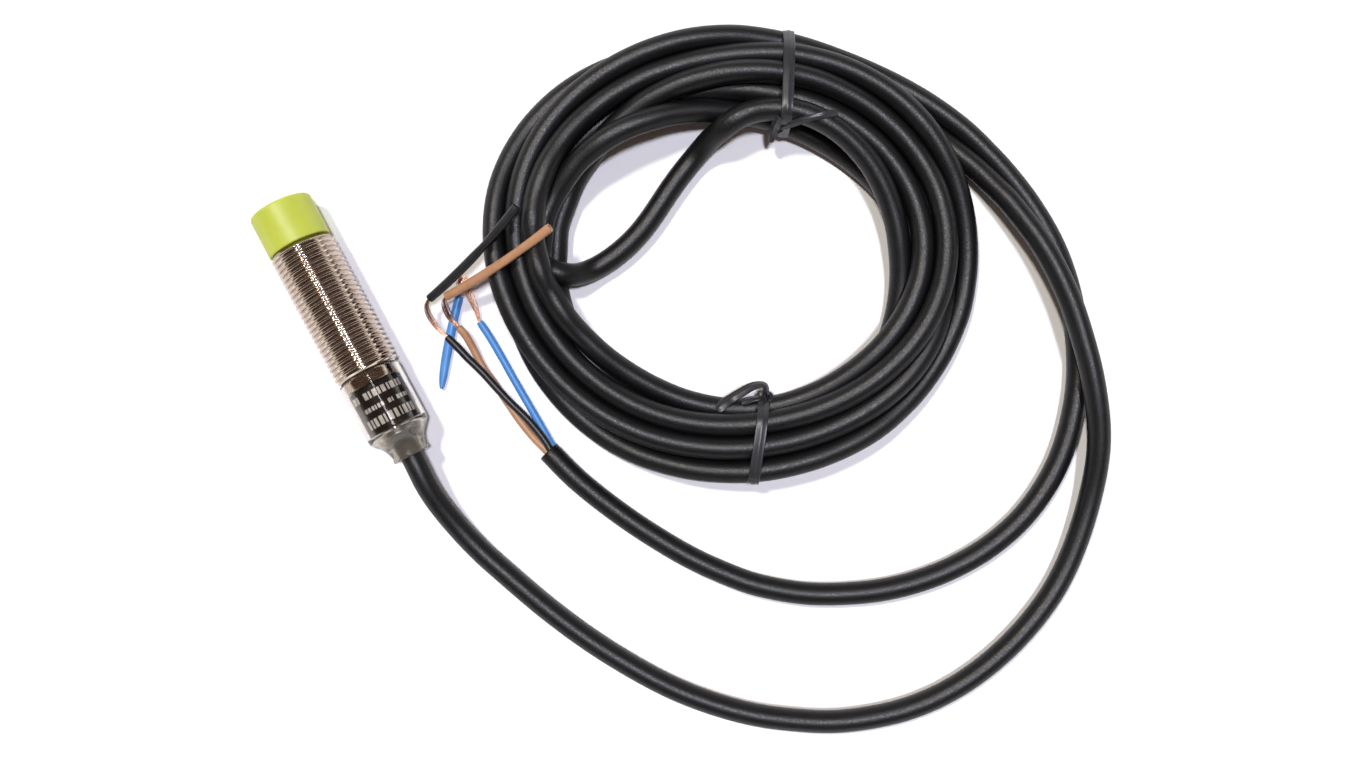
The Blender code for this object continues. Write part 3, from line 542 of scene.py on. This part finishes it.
# Plain bars stand where a label has its print: the middle along the axis, the height, the first angle from
# the top, and the bars' widths in degrees, with a gap where a width is negative
labelRows = [
    (-12.7, 1.3, -64,
     [5, -3, 4, -4, 9, -3, 4, -4, 8, -3, 5, -3, 8, -4, 4, -3, 8, -14, 5, -3, 9, -6, 10]),
    (-15.15, 0.8, -66,
     [3, -2, 5, -3, 5, -2, 6, -8, 3, -2, 6, -9, 6, -2, 5, -3, 3, -2, 5, -3, 6, -2, 6]),
    (-17.65, 1.65, -66,
     [6, -3, 5, -4, 7, -4, 3, -5, 7, -4, 10, -4, 4, -3, 8, -4, 7, -3, 5, -4, 6]),
]


def labelBars():
    # Each bar is a rounded oblong carried around the axis over its width, just proud of the film
    skins = []
    for middle, height, angle, widths in labelRows:
        half = height / 2
        profile = roundCorners([(-half, -0.02), (half, -0.02), (half, 0.03), (-half, 0.03)], 0.02, 2)
        for width in widths:
            if width > 0:
                turn = np.radians(90 - np.linspace(angle, angle + width, 6))[:, None]
                radius = 5.06 + profile[None, :, 1]
                grid = np.stack([np.broadcast_to(middle + profile[None, :, 0], (6, len(profile))),
                                 radius * np.cos(turn), radius * np.sin(turn) + axisHeight], axis=-1)
                skins.append(skin(grid))
            angle += abs(width)
    return skins


makePiece("labelBars", labelBars(), finishes["labelInk"], "sensor")
print("body made")

# The cut end: cores, bare strands and the half pulled insulation
cores = {
    "black": [(-38.0, -22.3, 2.75), (-35.2, -22.3, 2.85), (-32.3, -21.9, 2.9), (-28.9, -21.1, 2.9),
              (-25.2, -19.9, 2.9), (-21.5, -18.9, 2.9), (-17.9, -18.0, 3.0), (-14.4, -16.9, 3.2),
              (-11.4, -16.1, 3.4), (-9.2, -15.4, 3.4)],
    "brown": [(-38.0, -21.8, 1.7), (-36.3, -21.5, 1.5), (-33.1, -20.5, 1.2), (-29, -19.7, 1.1),
              (-24.8, -19.2, 1.0), (-20.8, -18.8, 1.0), (-17, -18.3, 1.1), (-13.5, -18.4, 1.6),
              (-10.6, -18.4, 2.3), (-8.6, -18.1, 2.9)],
    "blue": [(-38.0, -23.0, 1.7), (-36.2, -22.9, 1.5), (-34.7, -22.8, 1.4), (-31.7, -22.7, 1.1),
             (-26.8, -22.5, 0.9), (-21.6, -22.3, 0.8), (-16.7, -22.2, 0.8), (-12.4, -22, 0.8),
             (-9.3, -21.7, 0.85)],
}
strandRoutes = {
    "black": [(-10.6, -15.85, 3.4), (-9.2, -15.4, 3.4), (-6.9, -14.6, 3.6), (-4.3, -14.4, 4.1),
              (-2.8, -14.8, 4.7), (-2.05, -15.6, 5.15)],
    "brown": [(-9.9, -18.3, 2.5), (-8.6, -18.1, 2.9), (-6.4, -17.5, 3.3), (-4.4, -17.7, 4.1),
              (-3.3, -18.3, 5.0)],
    "blue": [(-10.6, -21.85, 0.85), (-9.3, -21.7, 0.85), (-7, -22.1, 1.0), (-4.3, -22.4, 1.3),
             (-1.8, -22.9, 1.5), (-0.7, -22.7, 1.5), (-1.0, -21.9, 1.2), (-2.1, -21.3, 1.0)],
}
wires = {"count": 18, "radius": 0.055, "spread": 0.26, "splay": {"black": 0.6, "brown": 0.9, "blue": 1.3},
         "sides": 6, "inside": 6.0, "spacing": 2.4, "twist": 2.2}  # the last two are turns in radians
coreRadius = 0.72
finishOf = {"black": "pvcBlack", "brown": "pvcBrown", "blue": "pvcBlue"}
bow = {"black": (-0.6, 0.0, 0.0), "brown": (-0.5, 0.0, 0.0), "blue": (0.15, 0.25, 0.0)}


def slugRoute(colour, step):  # a straight line with a slight bow in its middle
    start, end = (np.array(p, float) for p in slugs[colour])
    t = np.linspace(0.0, 1.0, int(np.linalg.norm(end - start) / step) + 1)[:, None]
    return start + (end - start) * t + 4 * t * (1 - t) * np.array(bow[colour])


def strandBundle(colour):
    # Each wire keeps a place in a round bundle that turns as it goes and opens midway along the bare length
    held = slugRoute(colour, 0.5)
    held = held[1:int(wires["inside"] / 0.5)]
    route = smoothRoute(np.vstack([strandRoutes[colour], held[::3]]), 0.25)
    _, sideways, up = routeFrames(route)
    t = np.linspace(0.0, 1.0, len(route))
    bareShare = np.linalg.norm(route - held[0], axis=1).argmin() / len(route)
    opened = np.sin(np.clip((t - 0.08) / (bareShare - 0.1), 0, 1) * math.pi)
    index = np.arange(wires["count"])
    place = wires["spread"] * np.sqrt((index + 0.5) / wires["count"])
    skins = []
    for k in index:
        turn = k * wires["spacing"] + t * wires["twist"]
        far = place[k] * (1 + opened * wires["splay"][colour] * (1.4 + 1.2 * math.sin(k * 5.1)))
        line = route + (far * np.cos(turn))[:, None] * sideways + (far * np.sin(turn) * 0.8)[:, None] * up
        line[:, 2] = np.maximum(line[:, 2], wires["radius"])
        skins.append(skin(sweep(line, circle(wires["sides"]) * wires["radius"])))
    return skins


def slugSkin(colour):
    # An outer and an inner wall along the slug's route; the blue one is pressed flat towards its free end
    route = slugRoute(colour, 0.45)
    t = np.linspace(0.0, 1.0, len(route))
    wide = 1 + 0.03 * np.sin(9 * t + len(colour))
    wide[[0, -1]] *= 0.93
    scale = np.stack([wide, wide], axis=1)
    if colour == "blue":
        pressed = np.clip((t - 0.35) / 0.65, 0, 1)
        scale *= np.stack([1 + 0.12 * pressed - 0.75 * pressed ** 6, 1 - 0.5 * pressed], axis=1)
    if colour == "black":
        pinch = np.exp(-((t - 0.62) / 0.07) ** 2)
        scale *= np.stack([1 - 0.16 * pinch, 1 + 0.06 * pinch], axis=1)
    outer = sweep(route, circle(28) * slugSize["radius"], scale)
    inner = sweep(route, circle(28) * slugSize["bore"], scale)
    return skin(np.concatenate([outer, inner[::-1]]), "joined")


for colour in cores:
    route = smoothRoute(cores[colour], 0.6)
    scale = np.full(len(route), 1.0)
    scale[-1], scale[-2] = 0.86, 0.99
    slotName, title = f"pvc_{colour}", colour.capitalize()
    makePiece(f"core{title}", [skin(sweep(route, circle(28) * coreRadius, scale))],
                               finishes[finishOf[colour]], "sensor", [f"core_{colour}"])
    makePiece(f"strands{title}", strandBundle(colour), finishes["copperWire"], "sensor",
                               [f"strands_{colour}"])
    makePiece(f"slug{title}", [slugSkin(colour)], finishes[finishOf[colour]],
                               f"{colour}_slug", [f"slug_{colour}"])
print("cut end made")


# Ties
def hullPath(points):  # the outline of the smallest convex shape around flat points
    points = sorted(map(tuple, points))

    def half(ordered):
        kept = []
        for p in ordered:
            while len(kept) > 1 and ((kept[-1][0] - kept[-2][0]) * (p[1] - kept[-2][1])
                                     - (kept[-1][1] - kept[-2][1]) * (p[0] - kept[-2][0])) <= 0:
                kept.pop()
            kept.append(p)
        return kept[:-1]
    return np.array(half(points) + half(points[::-1]))


def strandSection(name):  # where the lead passes through the upright plane of a tie
    direction = tieDirection(name)
    spot = leadRoute[:, :2] - ties[name]["spot"]
    out, across = spot @ direction, spot @ np.array([-direction[1], direction[0]])
    hit = np.where((across[:-1] * across[1:] < 0) & (np.abs(out[:-1]) < ties["reach"]))[0]
    share = across[hit] / (across[hit] - across[hit + 1])
    return np.stack([out[hit] + share * (out[hit + 1] - out[hit]),
                     leadRoute[hit, 2] + share * (leadRoute[hit + 1, 2] - leadRoute[hit, 2])], axis=1)


tieProfile = np.array([  # a flat strip with a round wire along its middle
    (-1.05, 0.0), (-0.95, 0.14), (-0.4, 0.16), (-0.2, 0.27), (0.2, 0.27), (0.4, 0.16), (0.95, 0.14),
    (1.05, 0.0), (0.95, -0.14), (0.4, -0.16), (0.2, -0.25), (-0.2, -0.25), (-0.4, -0.16), (-0.95, -0.14)])


def tieLoop(name):
    # A strip around the strands: the hull of their circles, drawn in the tie's plane, with a ribbed profile
    grown = (lead["radius"] + 0.36) * circle(48)
    hull = hullPath((strandSection(name)[:, None] + grown[None]).reshape(-1, 2))
    hull = evenSteps(np.vstack([hull, hull[:1]]), 0.8)[:-1]
    for _ in range(3):
        hull = (np.roll(hull, 1, 0) + 2 * hull + np.roll(hull, -1, 0)) / 4
    hull[:, 1] = np.maximum(hull[:, 1], 0.3)
    direction = tieDirection(name)
    way = np.array([-direction[1], direction[0]])
    along = unit(np.roll(hull, -1, 0) - np.roll(hull, 1, 0))
    outward = np.stack([along[:, 1], -along[:, 0]], axis=1)
    flat = hull[:, None] + outward[:, None] * tieProfile[None, :, 1:]
    across = tieProfile[None, :, 0] * np.ones((len(hull), 1))
    ground = np.array(ties[name]["spot"]) + flat[..., :1] * direction + across[..., None] * way
    return np.concatenate([ground, flat[..., 1:]], axis=-1)


def ribbon(points, wide, roll):
    # The strip laid over the lead: where a strand is under it, its height is the strand's top
    route, reach = smoothRoute(points, 0.5), lead["radius"] + 0.45
    distance = np.linalg.norm(route[:, None, :2] - fineRoute[None, :, :2], axis=2)
    bulge = np.sqrt(np.clip(reach ** 2 - distance ** 2, 0, None))
    tops = np.where(distance < reach, fineRoute[None, :, 2] + bulge, 0)
    rise = np.clip(tops.max(axis=1) - route[:, 2], 0, None)
    for _ in range(6):
        rise = np.maximum(rise, np.convolve(np.pad(rise, 1, "edge"), (0.25, 0.5, 0.25), "valid"))
    route[:, 2] += rise
    scale = np.ones(len(route))
    scale[:2], scale[-2:] = (0.6, 0.92), (0.92, 0.6)
    rolls = np.interp(np.linspace(0, 1, len(route)), np.linspace(0, 1, len(roll)), roll)
    return skin(sweep(route, tieProfile * np.array([wide, 1.0]), scale, rolls))


# The strip's ends cross at a knot: its middle, size, and ribbons with their width and rolls in radians
tieTails = {
    "top": {"knot": (-4.2, -86.3, 7.0), "size": 0.75, "tails": [
        ([(-4.4, -86.2, 7.4), (-5.2, -88.3, 9.4), (-6.3, -92.2, 10.1), (-7.5, -96.6, 9.9)],
         0.62, [0.6, 0.25]),
        ([(-3.4, -87.0, 6.4), (-4.4, -85.6, 6.6), (-5.6, -84.4, 5.2)], 1.0, [0.4, 1.0])]},
    "bottom": {"knot": (-46.4, -61.8, 4.6), "size": 0.85, "tails": [
        ([(-46.6, -61.4, 4.8), (-44.6, -62.6, 5.2), (-43.6, -60.9, 5.0), (-43.6, -57.8, 4.4),
          (-43.9, -54.6, 3.6), (-44.4, -52.9, 3.2)], 0.95, [0.9, 0.9, 0.5, 0.4, 0.3]),
        ([(-46.2, -61.2, 4.6), (-45.5, -59.2, 4.9), (-45.3, -57.4, 5.0)], 0.8, [1.2, 0.6])]},
}
knotShape = {"length": 2.6, "radius": 0.5, "turns": 0.9}
for name in ("top", "bottom"):
    skins = [skin(tieLoop(name), "joined")]
    knot, direction = np.array(tieTails[name]["knot"]), np.array([*tieDirection(name), 0.0])
    way, t = np.array([-direction[1], direction[0], 0.0]), np.linspace(0, 1, 40)
    for phase in (0.0, math.pi):  # two ends wound around each other
        turn = phase + t * math.tau * knotShape["turns"]
        axis = knot + ((t - 0.5) * knotShape["length"])[:, None] * (-direction * 0.8 + np.array([0, 0, 0.25]))
        wound = np.cos(turn)[:, None] * way + np.sin(turn)[:, None] * np.array([0, 0, 1.0])
        line = axis + knotShape["radius"] * wound
        skins.append(skin(sweep(line, tieProfile * tieTails[name]["size"], None, turn)))
    for points, wide, roll in tieTails[name]["tails"]:
        skins.append(ribbon(points, wide, roll))
    makePiece(f"tie{name.capitalize()}", skins, finishes["tiePlastic"], "sensor",
                               [f"tie_{name}"], sharp=50)
print("ties made")

# Table, light and surroundings
floorFinish = makeFinish("paperTable", {"colour": "#F7F7F8", "other": "#F4F4F6", "blotch": 60.0, "grain": 0.6,
                                        "depth": 0.01, "rough": (0.55, 0.7), "strength": 0.2})
floorMesh = bpy.data.meshes.new("table")
floorMesh.from_pydata([(-3, -3, 0), (3, -3, 0), (3, 3, 0), (-3, 3, 0)], [], [(0, 1, 2, 3)])
floorMesh.materials.append(floorFinish)
table = bpy.data.objects.new("table", floorMesh)
bpy.context.scene.collection.objects.link(table)

lights = {  # where it shines from along the camera's right, its up and the height; its width is in degrees
    "key": {"from": (-205.0, 225.0, 660.0), "width": 5.5, "strength": 1.75, "colour": "#FFF9EF"},
    "overhead": {"from": (80.0, 30.0, 700.0), "width": 6.5, "strength": 2.15, "colour": "#F0F1FF"},
}
turn = math.radians(view["turn"])
right, upwards = np.array([math.cos(turn), math.sin(turn)]), np.array([-math.sin(turn), math.cos(turn)])
for name, facts in lights.items():
    lightData = bpy.data.lights.new(name, "SUN")
    lightData.angle, lightData.energy = math.radians(facts["width"]), facts["strength"]
    lightData.color = linearColour(facts["colour"])[:3]
    light = bpy.data.objects.new(name, lightData)
    across, along, high = facts["from"]
    light.location = Vector((*(np.array(view["place"][:2]) + across * right + along * upwards), high)) * mm
    aim = Vector((view["place"][0] * mm, view["place"][1] * mm, 0.0)) - light.location
    light.rotation_euler = aim.to_track_quat("-Z", "Y").to_euler()
    bpy.context.scene.collection.objects.link(light)

world = bpy.data.worlds.new("room")
bpy.context.scene.world = world
world.use_nodes = True
tree = world.node_tree
outwards = addNode(tree, "ShaderNodeTexCoord").outputs["Generated"]  # the sky's own direction
height = addNode(tree, "ShaderNodeSeparateXYZ", None, {"Vector": outwards})
fade = addNode(tree, "ShaderNodeMapRange", {"From Min": 0.12, "From Max": 0.34, "To Min": 1.0, "To Max": 0.0},
               {"Value": height.outputs["Z"]})
sky = addNode(tree, "ShaderNodeMix", {6: linearColour("#4F413A"), 7: linearColour("#FFFFFF")},
              {0: fade.outputs["Result"]}, data_type="RGBA")
tree.links.new(sky.outputs[2], tree.nodes["Background"].inputs["Color"])
tree.nodes["Background"].inputs["Strength"].default_value = 1.5
bpy.context.scene.view_settings.view_transform = "Standard"
print("stage made")
